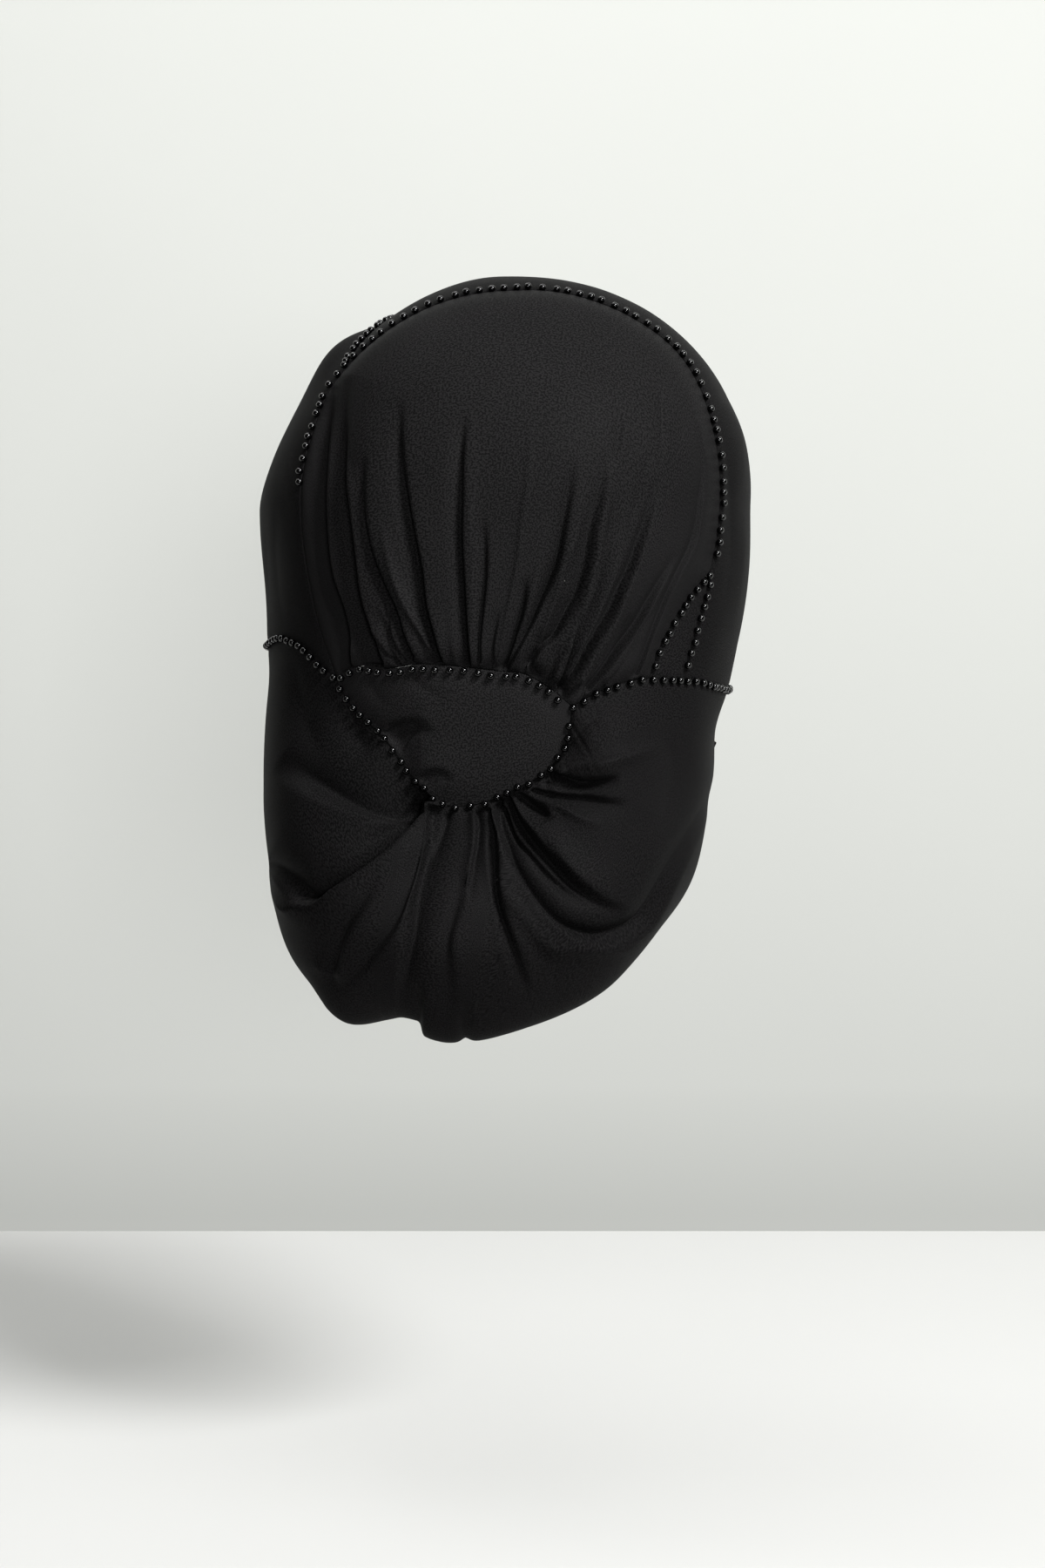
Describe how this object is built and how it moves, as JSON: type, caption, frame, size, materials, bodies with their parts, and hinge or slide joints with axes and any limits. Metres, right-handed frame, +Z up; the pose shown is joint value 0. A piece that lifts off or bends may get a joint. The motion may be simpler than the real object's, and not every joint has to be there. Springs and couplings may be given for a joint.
{
  "type": "turban",
  "caption": "Soft pull-on turban with a gathered crown, bands round the face, a plain back patch, a hanging gathered snood and bead lines along its seams.",
  "frame": {"origin": "inside of the crown, where the top of the wearer's head sits", "axes": "+Z up the wearer's head, +Y forwards out of the face opening, +X to the wearer's right; the gathered back faces -Y"},
  "size_m": [0.2066, 0.2189, 0.3135],
  "materials": {
    "black_crepe": "fine crepe jersey with a soft sheen",
    "black_beads": "polished round beads"
  },
  "bodies": {
    "root": {"crown_panel": "black_crepe", "front_band": "black_crepe", "left_band": "black_crepe", "side_gusset": "black_crepe", "back_patch": "black_crepe", "snood": "black_crepe", "beads_crown_seam": "black_beads", "beads_front_seam": "black_beads", "beads_gusset_inner": "black_beads", "beads_gusset_outer": "black_beads", "beads_patch_top": "black_beads", "beads_patch_bottom": "black_beads", "beads_left_seam": "black_beads", "beads_right_seam": "black_beads"}
  },
  "joints": []
}
